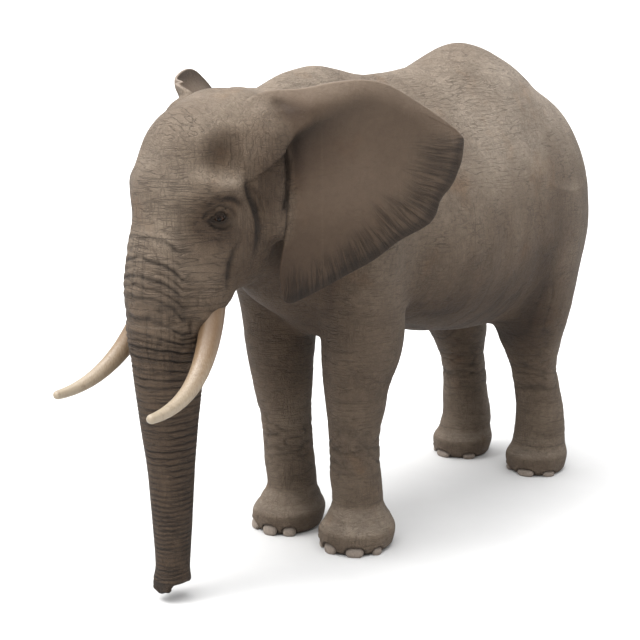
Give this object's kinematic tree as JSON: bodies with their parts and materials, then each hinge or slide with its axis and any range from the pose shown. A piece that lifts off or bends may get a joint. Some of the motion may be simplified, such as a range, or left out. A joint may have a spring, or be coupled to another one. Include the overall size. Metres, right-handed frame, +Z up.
{
  "type": "african bush elephant model",
  "caption": "Life-size standing elephant with large fan-shaped ears, curved tusks, a long ringed trunk hanging to the floor and a tufted tail.",
  "frame": {"origin": "on the floor under the middle of the animal's length, on its plane of symmetry", "axes": "+Z up, -Y the way the animal faces, +X towards the animal's left side"},
  "size_m": [1.844, 4.4782, 3.0917],
  "materials": {
    "skin": "thick grey-brown hide with a fine net of wrinkles, matt",
    "ear_skin": "thin, slightly darker hide, matt",
    "ivory": "cream ivory with brown stain near the lip, satin",
    "eye": "dark brown, wet gloss",
    "hair": "black coarse hair, satin"
  },
  "bodies": {
    "root": {"torso_chest": "skin", "torso_belly": "skin", "torso_rump": "skin", "neck": "skin", "front_leg_upper_left": "skin", "front_leg_upper_right": "skin", "front_leg_lower_left": "skin", "front_leg_lower_right": "skin", "front_foot_left": "skin", "front_foot_right": "skin", "rear_leg_upper_left": "skin", "rear_leg_upper_right": "skin", "rear_leg_lower_left": "skin", "rear_leg_lower_right": "skin", "rear_foot_left": "skin", "rear_foot_right": "skin", "head": "skin", "eye_left": "eye", "eye_right": "eye", "lower_jaw": "skin", "tusk_left": "ivory", "tusk_right": "ivory", "trunk_upper": "skin", "trunk_middle": "skin", "trunk_lower": "skin", "trunk_tip": "skin", "ear_left": "ear_skin", "ear_right": "ear_skin", "tail": "skin", "tail_tuft": "hair"}
  },
  "joints": []
}
